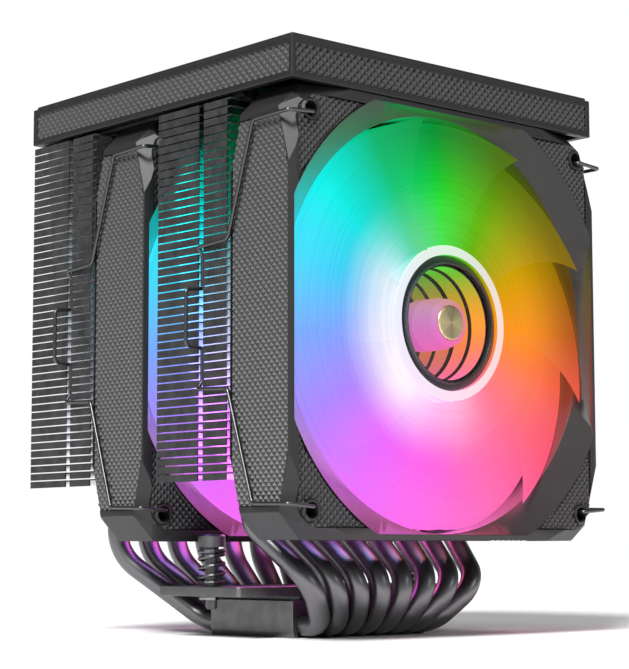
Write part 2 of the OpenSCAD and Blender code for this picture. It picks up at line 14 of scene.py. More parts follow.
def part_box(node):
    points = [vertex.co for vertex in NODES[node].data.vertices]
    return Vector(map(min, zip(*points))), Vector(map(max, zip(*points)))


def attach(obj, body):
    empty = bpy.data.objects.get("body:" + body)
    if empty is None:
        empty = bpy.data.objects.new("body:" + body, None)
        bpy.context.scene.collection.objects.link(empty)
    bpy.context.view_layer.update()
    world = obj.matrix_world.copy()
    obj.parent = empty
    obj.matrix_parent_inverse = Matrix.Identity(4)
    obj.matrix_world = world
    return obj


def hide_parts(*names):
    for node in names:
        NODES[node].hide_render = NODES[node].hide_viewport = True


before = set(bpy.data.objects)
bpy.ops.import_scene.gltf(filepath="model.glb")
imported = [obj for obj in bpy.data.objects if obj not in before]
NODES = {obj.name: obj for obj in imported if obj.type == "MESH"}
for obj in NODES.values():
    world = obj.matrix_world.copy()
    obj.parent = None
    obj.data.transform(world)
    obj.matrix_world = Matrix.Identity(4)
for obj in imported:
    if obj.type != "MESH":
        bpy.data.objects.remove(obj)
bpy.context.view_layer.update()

bl_info = {
    "name": "Tower cooler visual model",
    "version": (1, 0, 0),
    "blender": (4, 5, 0),
    "location": "3D View > Sidebar > Cooler",
    "description": "Builds the finished pieces and materials of a twin-tower processor cooler",
    "category": "Object",
}

FANS = ("front", "rear")
SIDES = ("left", "right")
PIPES = range(1, 9)
MM = 0.001


# ---------- places read from the frame ----------

def box_mm(node):
    low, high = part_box(node)
    return low / MM, high / MM


def fan_face(fan):
    """Depth of a fan's front face, in millimetres."""
    return box_mm(fan + "_fan_frame")[0].y


FAN_LOW, FAN_HIGH = box_mm("front_fan_frame")
FAN_Z = (FAN_LOW.z + FAN_HIGH.z) / 2
TIP_R = box_mm("front_fan_rotor")[1].x
FRONT_FIN = box_mm("front_fin_stack")
REAR_FIN = box_mm("rear_fin_stack")


# ---------- sizes and colours a user can change ----------

def size(name, about, default, low=0.0, high=0.1):
    return FloatProperty(name=name, description=about, default=default * MM,
                         min=low, max=high, unit="LENGTH", precision=4)


def shade(name, about, default):
    return FloatVectorProperty(name=name, description=about, default=default,
                               size=3, min=0.0, max=1.0, subtype="COLOR")


class CoolerSizes(bpy.types.PropertyGroup):
    fan_tile: size("Fan tile size", "Side of one square pyramid on the fan panels", 1.556)
    fan_tile_rise: size("Fan tile rise", "Height of the pyramids on the fan panels", 0.60)
    cover_tile: size("Cover tile size", "Side of one square pyramid on the cover", 1.75)
    cover_tile_rise: size("Cover tile rise", "Height of the pyramids on the cover", 0.65)
    edge: size("Moulded edge", "Radius left on the edges of moulded parts", 0.28)
    metal_edge: size("Metal edge", "Radius left on the edges of metal parts", 0.2)
    blade_front: size("Blade front", "Depth of the blades' front edge behind the fan face", 0.9)
    blade_back: size("Blade back", "Depth of the blades' rear edge behind the fan face", 19.3)
    blade_root: size("Blade root", "Blade thickness at the hub", 1.2)
    blade_tip: size("Blade tip", "Blade thickness at the tip", 0.6)
    hub_r: size("Hub radius", "Outer radius of the rotor hub", 21.7)
    cup_r: size("Cup radius", "Inner radius of the mirrored cup", 16.35)
    pipe_r: size("Pipe radius", "Outer radius of a heat pipe", 3.0)
    pipe_low: size("Pipe spacing in the base", "Distance between pipes in the base", 6.2)
    pipe_high: size("Pipe spacing in the towers", "Distance between pipes in the fins", 11.0)
    wire_r: size("Clip wire radius", "Radius of the fan clips' wire", 0.55)
    blade_count: IntProperty(name="Blades", description="Blades on each rotor",
                             default=9, min=3, max=15)
    blade_cover: FloatProperty(name="Blade width", description="Angle one blade covers",
                               default=math.radians(92), subtype="ANGLE")
    blade_sweep: FloatProperty(name="Blade sweep", description="Angle the tip leads the root by",
                               default=math.radians(20), subtype="ANGLE")


class CoolerColours(bpy.types.PropertyGroup):
    plastic: shade("Moulded plastic", "Fan frames and cover", (0.008, 0.008, 0.0085))
    tiles: shade("Tiled panels", "Pyramid panels", (0.010, 0.010, 0.0105))
    fins: shade("Fin coating", "Black coating on the fins", (0.012, 0.012, 0.013))
    pipes: shade("Pipe plating", "Black nickel plating on the pipes", (0.17, 0.17, 0.175))
    metal: shade("Base plating", "Satin plating on the base and bar", (0.115, 0.115, 0.117))
    wire: shade("Clip wire", "Black plated spring wire", (0.09, 0.09, 0.092))
    steel: shade("Screw steel", "Dark zinc plated steel", (0.20, 0.20, 0.21))
    brass: shade("Cap brass", "Spun brass cap", (0.62, 0.52, 0.30))
    glow: FloatProperty(name="Light strength", description="Brightness of the lit rotors",
                        default=1.0, min=0.0, max=5.0)


def sizes():
    return bpy.context.scene.cooler_sizes


def colours():
    return bpy.context.scene.cooler_colours


# ---------- node helpers ----------

class Tree:
    """Adds and joins the nodes of one tree."""

    def __init__(self, tree):
        self.tree = tree

    def node(self, kind, inputs=None, **props):
        made = self.tree.nodes.new(kind)
        for key, value in props.items():
            setattr(made, key, value)
        for key, value in (inputs or {}).items():
            if isinstance(value, bpy.types.NodeSocket):
                self.tree.links.new(value, made.inputs[key])
            else:
                made.inputs[key].default_value = value
        return made

    def math(self, operation, a, b=0.0, c=0.0, clamp=False):
        made = self.node("ShaderNodeMath", {0: a, 1: b, 2: c},
                         operation=operation, use_clamp=clamp)
        return made.outputs[0]

    def between(self, value, low, high, smooth=True):
        """0 below low, 1 above high."""
        kind = "SMOOTHSTEP" if smooth else "LINEAR"
        made = self.node("ShaderNodeMapRange", {"Value": value, "From Min": low, "From Max": high},
                         interpolation_type=kind)
        return made.outputs["Result"]

    def mix(self, factor, a, b):
        made = self.node("ShaderNodeMix", data_type="RGBA")
        for key, value in ((0, factor), (6, a), (7, b)):
            if isinstance(value, bpy.types.NodeSocket):
                self.tree.links.new(value, made.inputs[key])
            else:
                made.inputs[key].default_value = value
        return made.outputs[2]

    def ramp(self, factor, stops, spread="LINEAR"):
        made = self.node("ShaderNodeValToRGB", {0: factor})
        made.color_ramp.interpolation = spread
        marks = made.color_ramp.elements
        while len(marks) > 1:
            marks.remove(marks[-1])
        for number, (place, colour) in enumerate(stops):
            mark = marks[0] if number == 0 else marks.new(place)
            mark.position = place
            mark.color = (*colour, 1.0)
        return made.outputs[0]


def group(name, ins, outs):
    """A shader node group with named sockets; returns its Tree, inputs and output node."""
    tree = bpy.data.node_groups.new(name, "ShaderNodeTree")
    for label, kind, default in ins:
        socket = tree.interface.new_socket(label, in_out="INPUT", socket_type=kind)
        if default is not None:
            socket.default_value = default
    for label, kind in outs:
        tree.interface.new_socket(label, in_out="OUTPUT", socket_type=kind)
    kit = Tree(tree)
    return kit, kit.node("NodeGroupInput").outputs, kit.node("NodeGroupOutput")


def build_grain_group():
    """Fine moulded or powder-coated grain: a bump height and a slow unevenness."""
    kit, into, out = group(
        "Surface grain",
        [("Vector", "NodeSocketVector", None), ("Grain size", "NodeSocketFloat", 0.15),
         ("Blotch size", "NodeSocketFloat", 12.0)],
        [("Height", "NodeSocketFloat"), ("Unevenness", "NodeSocketFloat")])
    fine = kit.node("ShaderNodeTexNoise", {
        "Vector": into["Vector"], "Detail": 3.0, "Roughness": 0.6,
        "Scale": kit.math("DIVIDE", 1000.0, into["Grain size"])})
    blotch = kit.node("ShaderNodeTexNoise", {
        "Vector": into["Vector"], "Detail": 4.0, "Roughness": 0.55,
        "Scale": kit.math("DIVIDE", 1000.0, into["Blotch size"])})
    links = kit.tree.links
    links.new(fine.outputs[0], out.inputs["Height"])
    links.new(blotch.outputs[0], out.inputs["Unevenness"])
    return kit.tree


def build_wear_group():
    """Edges rubbed lighter, broken up by noise."""
    kit, into, out = group(
        "Edge wear",
        [("Vector", "NodeSocketVector", None), ("Amount", "NodeSocketFloat", 0.5)],
        [("Mask", "NodeSocketFloat")])
    edge = kit.between(kit.node("ShaderNodeNewGeometry").outputs["Pointiness"], 0.515, 0.60)
    patches = kit.node("ShaderNodeTexNoise", {
        "Vector": into["Vector"], "Scale": 260.0, "Detail": 4.0})
    broken = kit.between(patches.outputs[0], 0.35, 0.65)
    both = kit.math("MULTIPLY", edge, kit.math("MULTIPLY_ADD", broken, 0.6, 0.4))
    kit.tree.links.new(kit.math("MULTIPLY", both, into["Amount"], clamp=True), out.inputs["Mask"])
    return kit.tree


def build_dust_group():
    """A thin film of dust on faces that look up."""
    kit, into, out = group(
        "Dust film",
        [("Vector", "NodeSocketVector", None), ("Amount", "NodeSocketFloat", 0.1)],
        [("Mask", "NodeSocketFloat")])
    normal = kit.node("ShaderNodeNewGeometry").outputs["Normal"]
    up = kit.node("ShaderNodeSeparateXYZ", {0: normal}).outputs["Z"]
    specks = kit.node("ShaderNodeTexNoise", {
        "Vector": into["Vector"], "Scale": 900.0, "Detail": 2.0})
    film = kit.math("MULTIPLY", kit.between(up, 0.3, 1.0),
                    kit.between(specks.outputs[0], 0.4, 0.75))
    kit.tree.links.new(kit.math("MULTIPLY", film, into["Amount"], clamp=True), out.inputs["Mask"])
    return kit.tree


def build_brush_group():
    """Fine lines left by brushing or drawing along one axis."""
    kit, into, out = group(
        "Brushed lines",
        [("Vector", "NodeSocketVector", None), ("Along", "NodeSocketVector", (0.02, 1.0, 1.0)),
         ("Line size", "NodeSocketFloat", 0.12)],
        [("Lines", "NodeSocketFloat")])
    stretched = kit.node("ShaderNodeVectorMath", {0: into["Vector"], 1: into["Along"]},
                         operation="MULTIPLY").outputs[0]
    lines = kit.node("ShaderNodeTexNoise", {
        "Vector": stretched, "Detail": 3.0, "Roughness": 0.7,
        "Scale": kit.math("DIVIDE", 1000.0, into["Line size"])})
    kit.tree.links.new(lines.outputs[0], out.inputs["Lines"])
    return kit.tree


def build_light_group():
    """Colour of the rotor light round the fan's centre, as it spreads from hub to tip, with painted
    shade towards the tips on the right.

    Lean slides the pattern sideways with depth, so that it runs on from blade to blade.
    """
    kit, into, out = group(
        "Ring of light",
        [("Vector", "NodeSocketVector", None), ("Lean", "NodeSocketFloat", 0.0)],
        [("Colour", "NodeSocketColor"), ("Radius", "NodeSocketFloat"), ("Turn", "NodeSocketFloat")])
    place = kit.node("ShaderNodeSeparateXYZ", {0: into["Vector"]}).outputs
    first, second = fan_face("front") * MM, fan_face("rear") * MM
    depth = kit.math("MODULO", kit.math("SUBTRACT", place["Y"], first - LEAN_FROM), second - first)
    depth = kit.math("MULTIPLY", kit.math("SUBTRACT", depth, LEAN_FROM + LEAN_DEPTH), into["Lean"])
    across = kit.math("SUBTRACT", place["X"], depth)
    up = kit.math("SUBTRACT", place["Z"], kit.math("MULTIPLY_ADD", depth, LEAN_UP, FAN_Z * MM))
    radius = kit.math("DIVIDE", kit.math("SQRT", kit.math(
        "ADD", kit.math("MULTIPLY", across, across), kit.math("MULTIPLY", up, up))), MM)
    turn = kit.math("FRACT", kit.math("DIVIDE", kit.math("ARCTAN2", up, across), math.tau))
    inner = kit.ramp(turn, INNER_LIGHT)
    # The tips' colour carries painted shade on the right and upper right
    outer = kit.ramp(turn, OUTER_LIGHT_WITH_PAINTED_SHADE)
    colour = kit.mix(kit.between(radius, *COLOUR_FADE), inner, outer)
    links = kit.tree.links
    links.new(colour, out.inputs["Colour"])
    links.new(radius, out.inputs["Radius"])
    links.new(turn, out.inputs["Turn"])
    return kit.tree


# Light round the rotor from the +x side, anticlockwise seen from the front
INNER_LIGHT = [
    (0.00, (1.00, 0.30, 0.01)), (0.06, (0.75, 0.34, 0.00)), (0.12, (0.40, 0.38, 0.00)),
    (0.18, (0.13, 0.46, 0.00)), (0.26, (0.00, 0.75, 0.01)), (0.33, (0.00, 0.62, 0.20)),
    (0.40, (0.00, 0.72, 0.72)), (0.46, (0.04, 0.55, 0.92)), (0.52, (0.22, 0.34, 1.00)),
    (0.58, (0.44, 0.22, 1.00)), (0.65, (0.82, 0.12, 1.00)), (0.72, (1.00, 0.10, 0.72)),
    (0.80, (1.00, 0.14, 0.42)), (0.88, (1.00, 0.17, 0.22)), (0.95, (1.00, 0.22, 0.06)),
    (1.00, (1.00, 0.30, 0.01)),
]
# Light at the blade tips, darker on the right and upper right as painted shade
OUTER_LIGHT_WITH_PAINTED_SHADE = [
    (0.00, (0.45, 0.09, 0.01)), (0.06, (0.24, 0.14, 0.00)), (0.12, (0.14, 0.15, 0.00)),
    (0.18, (0.07, 0.16, 0.00)), (0.26, (0.00, 0.28, 0.03)), (0.33, (0.00, 0.45, 0.14)),
    (0.40, (0.00, 0.90, 0.85)), (0.46, (0.06, 0.72, 1.00)), (0.52, (0.20, 0.40, 1.00)),
    (0.58, (0.42, 0.24, 1.00)), (0.65, (0.85, 0.16, 1.00)), (0.72, (1.00, 0.16, 0.80)),
    (0.80, (1.00, 0.16, 0.50)), (0.88, (1.00, 0.10, 0.20)), (0.95, (0.85, 0.10, 0.06)),
    (1.00, (0.45, 0.09, 0.01)),
]
# Leaning light: room kept before each fan's face and the depth behind the face where the
# pattern stands true, both in metres, and how far it climbs for each step sideways
LEAN_FROM = 0.002
LEAN_DEPTH = 0.003
LEAN_UP = 0.16
# Radii in millimetres over which the white at the hub fades out, and over which the inner
# light turns into the outer
WHITE_FADE = (21.0, 42.0)
COLOUR_FADE = (30.0, 57.0)
GROUPS = {}


# ---------- materials ----------

def use_group(kit, label, vector, **values):
    made = kit.node("ShaderNodeGroup", node_tree=GROUPS[label])
    kit.tree.links.new(vector, made.inputs["Vector"])
    for key, value in values.items():
        made.inputs[key.replace("_", " ").capitalize()].default_value = value
    return made.outputs


def start_material(name):
    made = bpy.data.materials.new(name)
    made.use_nodes = True
    kit = Tree(made.node_tree)
    shader = made.node_tree.nodes["Principled BSDF"]
    place = kit.node("ShaderNodeTexCoord").outputs["Object"]
    return made, kit, shader, place


def coated(name, colour, rough=(0.4, 0.55), grain=0.15, bump=0.05, wear=0.3, dust=0.05,
           metallic=0.0, specular=0.5, brushed=None, soft_edge=0.0):
    """Plastic or coated metal with grain, uneven gloss, rubbed edges and a little dust.

    soft_edge is the radius at which the shading rounds edges that the mesh keeps sharp.
    """
    made, kit, shader, place = start_material(name)
    links = kit.tree.links
    skin = use_group(kit, "grain", place, grain_size=grain, blotch_size=9.0)
    worn = use_group(kit, "wear", place, amount=wear)["Mask"]
    dusty = use_group(kit, "dust", place, amount=dust)["Mask"]
    dark = tuple(c * 0.93 for c in colour) + (1.0,)
    light = tuple(c * 1.06 for c in colour) + (1.0,)
    rubbed = tuple(min(1.0, c * 2.6 + 0.03) for c in colour) + (1.0,)
    base = kit.mix(skin["Unevenness"], dark, light)
    base = kit.mix(worn, base, rubbed)
    base = kit.mix(dusty, base, (0.34, 0.33, 0.32, 1.0))
    links.new(base, shader.inputs["Base Color"])
    gloss = kit.node("ShaderNodeMapRange", {
        "Value": skin["Unevenness"], "From Min": 0.3, "From Max": 0.7,
        "To Min": rough[0], "To Max": rough[1]}).outputs[0]
    gloss = kit.math("ADD", gloss, kit.math("MULTIPLY", dusty, 0.4), clamp=True)
    height = skin["Height"]
    if brushed:
        lines = use_group(kit, "brush", place, along=brushed, line_size=0.14)["Lines"]
        gloss = kit.math("ADD", gloss, kit.math("MULTIPLY_ADD", lines, 0.3, -0.15), clamp=True)
        height = lines
    links.new(gloss, shader.inputs["Roughness"])
    relief = kit.node("ShaderNodeBump", {"Strength": bump, "Distance": 0.0001, "Height": height})
    if soft_edge:
        turned = kit.node("ShaderNodeBevel", {"Radius": soft_edge}, samples=4)
        links.new(turned.outputs[0], relief.inputs["Normal"])
    links.new(relief.outputs[0], shader.inputs["Normal"])
    shader.inputs["Metallic"].default_value = metallic
    shader.inputs["Specular IOR Level"].default_value = specular
    return made


def lit(name, whiten, base=0.03, strength=1.0, rough=0.55, streaks=True, lean=0.0,
        spill=6.0, tint=None):
    """Milky plastic lit from behind, or a glow painted on a part that holds no lamp. whiten sets how
    white the light stays near the hub; on the blades it paints the light white on one side as
    painted highlight.

    The parts around it catch spill times the light seen looking straight at it.
    """
    made, kit, shader, place = start_material(name)
    links = kit.tree.links
    ring = use_group(kit, "light", place, lean=lean)
    side = kit.ramp(ring["Turn"], whiten, "EASE")
    near = kit.math("SUBTRACT", 1.0, kit.between(ring["Radius"], *WHITE_FADE))
    white = kit.math("MULTIPLY", kit.node("ShaderNodeRGBToBW", {0: side}).outputs[0], near)
    colour = kit.mix(white, ring["Colour"], (0.98, 0.94, 0.98, 1.0))
    if tint:
        colour = kit.mix(0.65, colour, (*tint, 1.0))
    if streaks:
        spin = kit.node("ShaderNodeCombineXYZ", {
            0: kit.math("MULTIPLY", ring["Radius"], 2.2),
            1: kit.math("MULTIPLY", ring["Turn"], 3.0)})
        rings = kit.node("ShaderNodeTexNoise", {
            "Vector": spin.outputs[0], "Scale": 1.0, "Detail": 2.0})
        level = kit.node("ShaderNodeMapRange", {
            "Value": rings.outputs[0], "From Min": 0.3, "From Max": 0.7,
            "To Min": 0.93, "To Max": 1.06}).outputs[0]
        colour = kit.node("ShaderNodeVectorMath", {0: colour, 1: level},
                          operation="MULTIPLY").outputs[0]
    links.new(colour, shader.inputs["Emission Color"])
    pale = kit.mix(0.5, colour, (0.9, 0.9, 0.9, 1.0))
    dim = kit.node("ShaderNodeVectorMath", {0: pale, 1: (base, base, base)}, operation="MULTIPLY")
    links.new(dim.outputs[0], shader.inputs["Base Color"])
    skin = use_group(kit, "grain", place, grain_size=0.3, blotch_size=6.0)
    gloss = kit.math("MULTIPLY_ADD", skin["Unevenness"], 0.2, rough - 0.1)
    links.new(gloss, shader.inputs["Roughness"])
    shader.inputs["Specular IOR Level"].default_value = 0.08
    seen = kit.node("ShaderNodeLightPath").outputs["Is Camera Ray"]
    level = strength * colours().glow
    sent = kit.math("MULTIPLY_ADD", seen, level * (1.0 - spill), level * spill)
    links.new(sent, shader.inputs["Emission Strength"])
    return made


def one_way_glass(name):
    """Film that is clear from outside and a mirror from inside the cup."""
    made, kit, shader, place = start_material(name)
    skin = use_group(kit, "grain", place, grain_size=0.4, blotch_size=5.0)
    base = kit.mix(skin["Unevenness"], (0.78, 0.78, 0.80, 1.0), (0.86, 0.86, 0.88, 1.0))
    kit.tree.links.new(base, shader.inputs["Base Color"])
    behind = kit.node("ShaderNodeNewGeometry").outputs["Backfacing"]
    facing_in = kit.between(kit.node("ShaderNodeSeparateXYZ", {
        0: kit.node("ShaderNodeNewGeometry").outputs["True Normal"]}).outputs["Y"], 0.4, 0.6)
    mirrored = kit.math("MULTIPLY", facing_in, kit.math("SUBTRACT", 1.0, behind))
    kit.tree.links.new(kit.math("MULTIPLY_ADD", mirrored, 0.85, 0.04), shader.inputs["Alpha"])
    shader.inputs["Metallic"].default_value = 1.0
    shader.inputs["Roughness"].default_value = 0.02
    return made


def tinted_mirror(name, rough):
    """Mirror film with a faint grain and a little haze."""
    made, kit, shader, place = start_material(name)
    skin = use_group(kit, "grain", place, grain_size=0.4, blotch_size=5.0)
    base = kit.mix(skin["Unevenness"], (0.80, 0.80, 0.82, 1.0), (0.90, 0.90, 0.92, 1.0))
    kit.tree.links.new(base, shader.inputs["Base Color"])
    gloss = kit.math("MULTIPLY_ADD", skin["Unevenness"], 0.03, rough)
    kit.tree.links.new(gloss, shader.inputs["Roughness"])
    shader.inputs["Metallic"].default_value = 1.0
    return made


def spun_brass(name, colour):
    """Brass turned on a lathe: fine rings, with the fans of light that they throw painted into its
    colour as painted highlight.
    """
    made, kit, shader, place = start_material(name)
    ring = use_group(kit, "light", place)
    turning = kit.node("ShaderNodeTexNoise", {
        "Vector": kit.node("ShaderNodeCombineXYZ", {0: ring["Radius"]}).outputs[0],
        "Scale": 9.0, "Detail": 3.0})
    # Painted highlight: two bright opposite fans and fine rays round the cap, painted into the base
    # colour
    fans = kit.math("MULTIPLY_ADD", kit.math("COSINE", kit.math(
        "MULTIPLY", ring["Turn"], 2 * math.tau)), 0.5, 0.5)
    around = kit.node("ShaderNodeCombineXYZ", {1: kit.math("MULTIPLY", ring["Turn"], 26.0)})
    rays = kit.node("ShaderNodeTexNoise", {
        "Vector": around.outputs[0], "Scale": 1.0, "Detail": 3.0})
    light = kit.math("ADD", kit.math("MULTIPLY", fans, 0.6),
                     kit.math("MULTIPLY_ADD", rays.outputs[0], 0.7, -0.1), clamp=True)
    base = kit.mix(light, tuple(c * 0.45 for c in colour) + (1.0,),
                   tuple(min(1.0, c * 1.35) for c in colour) + (1.0,))
    kit.tree.links.new(base, shader.inputs["Base Color"])
    gloss = kit.math("MULTIPLY_ADD", turning.outputs[0], 0.2, 0.25)
    kit.tree.links.new(gloss, shader.inputs["Roughness"])
    relief = kit.node("ShaderNodeBump", {"Strength": 0.2, "Distance": 0.0001,
                                         "Height": turning.outputs[0]})
    kit.tree.links.new(relief.outputs[0], shader.inputs["Normal"])
    shader.inputs["Metallic"].default_value = 1.0
    return made


def whiteness(*stops):
    """Ramp round the rotor that says how white the light is, from pairs of turn and level."""
    return [(turn, (level,) * 3) for turn, level in stops]


# Painted highlight: the blades' light is painted white on the left of and below the hub, and stays
# coloured on the right
BLADE_PAINTED_WHITE = whiteness((0.0, 0.0), (0.17, 0.0), (0.34, 0.12), (0.45, 0.80),
                        (0.62, 0.95), (0.74, 0.45), (0.88, 0.03), (1.0, 0.0))
RIM_WHITE = whiteness((0.0, 0.66), (0.55, 0.85), (1.0, 0.66))
# The boss holds no lamp: its white and pink glow below is painted light
BOSS_PAINTED_GLOW_WHITE = whiteness((0.0, 0.20), (1.0, 0.20))
WALL_WHITE = whiteness((0.0, 0.02), (1.0, 0.02))
BOSS_PAINTED_GLOW_PINK = (1.0, 0.12, 0.42)
MATERIALS = {}


def build_materials():
    tone = colours()
    plastic, tiles, fins = tuple(tone.plastic), tuple(tone.tiles), tuple(tone.fins)
    pipes, metal, wire = tuple(tone.pipes), tuple(tone.metal), tuple(tone.wire)
    steel = tuple(tone.steel)
    soft = sizes().edge
    MATERIALS.update({
        "frame": coated("moulded_frame", plastic, (0.43, 0.47), 0.12, 0.08, 0.12, 0.02,
                        specular=0.5, soft_edge=soft),
        "cover": coated("moulded_cover", plastic, (0.43, 0.47), 0.12, 0.08, 0.12, 0.02,
                        specular=0.4),
        "tiles": coated("tiled_panel", tiles, (0.40, 0.44), 0.10, 0.04, 0.0, 0.0, specular=0.75),
        "fins": coated("fin_coating", fins, (0.17, 0.24), 0.20, 0.08, 0.4, 0.03),
        "pipes": coated("pipe_plating", pipes, (0.30, 0.36), 0.25, 0.04, 0.2, 0.02, metallic=0.95),
        "base": coated("base_plating", metal, (0.34, 0.40), 0.2, 0.08, 0.4, 0.03,
                       metallic=0.95, brushed=(0.03, 1.0, 1.0)),
        "bar": coated("bar_plating", metal, (0.38, 0.44), 0.2, 0.08, 0.5, 0.03,
                      metallic=0.95, brushed=(0.03, 1.0, 1.0)),
        "wire": coated("clip_wire_plating", wire, (0.28, 0.36), 0.2, 0.04, 0.2, 0.0, metallic=0.95),
        "spring": coated("spring_blacking", wire, (0.28, 0.36), 0.2, 0.04, 0.4, 0.02,
                         metallic=0.95),
        "screw": coated("screw_blacking", wire, (0.34, 0.42), 0.2, 0.08, 0.5, 0.02, metallic=0.95),
        "steel": coated("dark_zinc", steel, (0.3, 0.38), 0.3, 0.06, 0.5, 0.03, metallic=1.0),
        "ground": coated("ground_steel", (0.55, 0.55, 0.57), (0.2, 0.3), 0.3, 0.05, 0.2, 0.0,
                         metallic=1.0, brushed=(1.0, 0.03, 1.0)),
        "bearing": coated("bearing_brass", (0.55, 0.42, 0.2), (0.25, 0.38), 0.3, 0.05, 0.2, 0.0,
                          metallic=1.0),
        "magnet": coated("bonded_ferrite", (0.03, 0.03, 0.03), (0.55, 0.7), 0.3, 0.2, 0.2, 0.0),
        "core": coated("core_and_windings", (0.42, 0.22, 0.12), (0.3, 0.45), 0.3, 0.15, 0.3, 0.0,
                       metallic=1.0, brushed=(1.0, 0.05, 1.0)),
        "board": coated("solder_mask", (0.02, 0.07, 0.04), (0.25, 0.4), 0.4, 0.08, 0.2, 0.02),
        "groove": coated("black_groove", (0.004, 0.004, 0.005), (0.4, 0.55), 0.2, 0.05, 0.0, 0.0),
        # The blades' glow is painted white on one side of the hub as painted highlight
        "blades": lit("lit_blades", BLADE_PAINTED_WHITE, base=0.004, lean=1.0),
        "hub": lit("lit_hub", RIM_WHITE, base=0.03, strength=0.95, streaks=False, spill=2.0),
        "cup_wall": lit("lit_cup_wall", WALL_WHITE, base=0.02, strength=1.15, streaks=False,
                        spill=1.0),
        # Painted light: the boss glows pink though it holds no lamp
        "boss": lit("lit_boss", BOSS_PAINTED_GLOW_WHITE, base=0.02, strength=0.85, streaks=False, spill=1.0,
                    tint=BOSS_PAINTED_GLOW_PINK),
        "mirror": tinted_mirror("tinted_mirror", 0.015),
        "one_way": one_way_glass("one_way_glass"),
        "brass": spun_brass("spun_brass", tuple(tone.brass)),
    })


# ---------- mesh helpers ----------

def add_object(name, mesh):
    made = bpy.data.objects.new(name, mesh)
    bpy.context.scene.collection.objects.link(made)
    return made


def plain_mesh(name, points, faces, smooth_angle=None):
    """Mesh from points in millimetres, with its faces turned outwards."""
    mesh = bpy.data.meshes.new(name)
    mesh.from_pydata([Vector(p) * MM for p in points], [], faces)
    tidy = bmesh.new()
    tidy.from_mesh(mesh)
    bmesh.ops.remove_doubles(tidy, verts=tidy.verts, dist=1e-7)
    bmesh.ops.recalc_face_normals(tidy, faces=tidy.faces)
    tidy.to_mesh(mesh)
    tidy.free()
    smooth(mesh, smooth_angle)
    return mesh


def smooth(mesh, angle):
    if angle is not None:
        mesh.polygons.foreach_set("use_smooth", [True] * len(mesh.polygons))
        mesh.set_sharp_from_angle(angle=math.radians(angle))
    mesh.update()


def merged_copy(node):
    """Copy of a CAD node's mesh with its loose triangles joined."""
    mesh = NODES[node].data.copy()
    mesh.materials.clear()
    tidy = bmesh.new()
    tidy.from_mesh(mesh)
    bmesh.ops.remove_doubles(tidy, verts=tidy.verts, dist=2e-6)
    bmesh.ops.dissolve_degenerate(tidy, edges=tidy.edges, dist=1e-7)
    tidy.to_mesh(mesh)
    tidy.free()
    return mesh


def baked(made):
    """The object's mesh with its modifiers applied, on a fresh object of the same name."""
    graph = bpy.context.evaluated_depsgraph_get()
    mesh = bpy.data.meshes.new_from_object(made.evaluated_get(graph), depsgraph=graph)
    made.modifiers.clear()
    made.data = mesh
    return made


def hand_over(made, body, slot, *nodes):
    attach(made, body)
    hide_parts(*nodes)


def paint(made, *names):
    made.data.materials.clear()
    for name in names:
        made.data.materials.append(MATERIALS[name])


def sideways_room(edge):
    """Shortest reach of the faces beside an edge, so that a rounding can't outgrow them."""
    along = (edge.verts[1].co - edge.verts[0].co).normalized()
    room = 1.0
    for vert in edge.verts:
        for other in vert.link_edges:
            reach = other.other_vert(vert).co - vert.co
            aside = (reach - along * reach.dot(along)).length
            if other is not edge and aside > 0.35 * reach.length:
                room = min(room, aside)
    return room


def edged(node, name, body, slot, material, width, sharp=25):
    """Merged copy of a CAD part, its sharp edges rounded as far as there is room.

    Width 0 keeps the edges; the material's own rounding then catches the light on them.
    """
    mesh = merged_copy(node)
    tidy = bmesh.new()
    tidy.from_mesh(mesh)
    bmesh.ops.dissolve_limit(tidy, angle_limit=math.radians(0.6),
                             verts=tidy.verts, edges=tidy.edges)
    if width:
        weight = tidy.edges.layers.float.new("bevel_weight_edge")
        for edge in tidy.edges:
            if edge.calc_face_angle(0.0) > math.radians(sharp):
                edge[weight] = min(1.0, 0.42 * sideways_room(edge) / width)
    tidy.to_mesh(mesh)
    tidy.free()
    made = add_object(name, mesh)
    if width:
        bevel = made.modifiers.new("edge", "BEVEL")
        bevel.width = width
        bevel.segments = 2
        bevel.limit_method = "WEIGHT"
        bevel.use_clamp_overlap = False
        baked(made)
    smooth(made.data, 50 if width else 14)
    if width:
        even = made.modifiers.new("even", "WEIGHTED_NORMAL")
        even.keep_sharp = True
        baked(made)
    paint(made, material)
    hand_over(made, body, slot, node)
    return made


# ---------- geometry node trees ----------

def geometry_tree(name, ins):
    tree = bpy.data.node_groups.new(name, "GeometryNodeTree")
    tree.interface.new_socket("Geometry", in_out="INPUT", socket_type="NodeSocketGeometry")
    for label, kind, default in ins:
        socket = tree.interface.new_socket(label, in_out="INPUT", socket_type=kind)
        if default is not None:
            socket.default_value = default
    tree.interface.new_socket("Geometry", in_out="OUTPUT", socket_type="NodeSocketGeometry")
    kit = Tree(tree)
    return kit, kit.node("NodeGroupInput").outputs, kit.node("NodeGroupOutput")


def finish_tree(kit, into, out, geometry):
    real = kit.node("GeometryNodeRealizeInstances", {0: geometry}).outputs[0]
    done = kit.node("GeometryNodeSetMaterial", {"Geometry": real, "Material": into["Material"]})
    kit.tree.links.new(done.outputs[0], out.inputs["Geometry"])
    return kit.tree


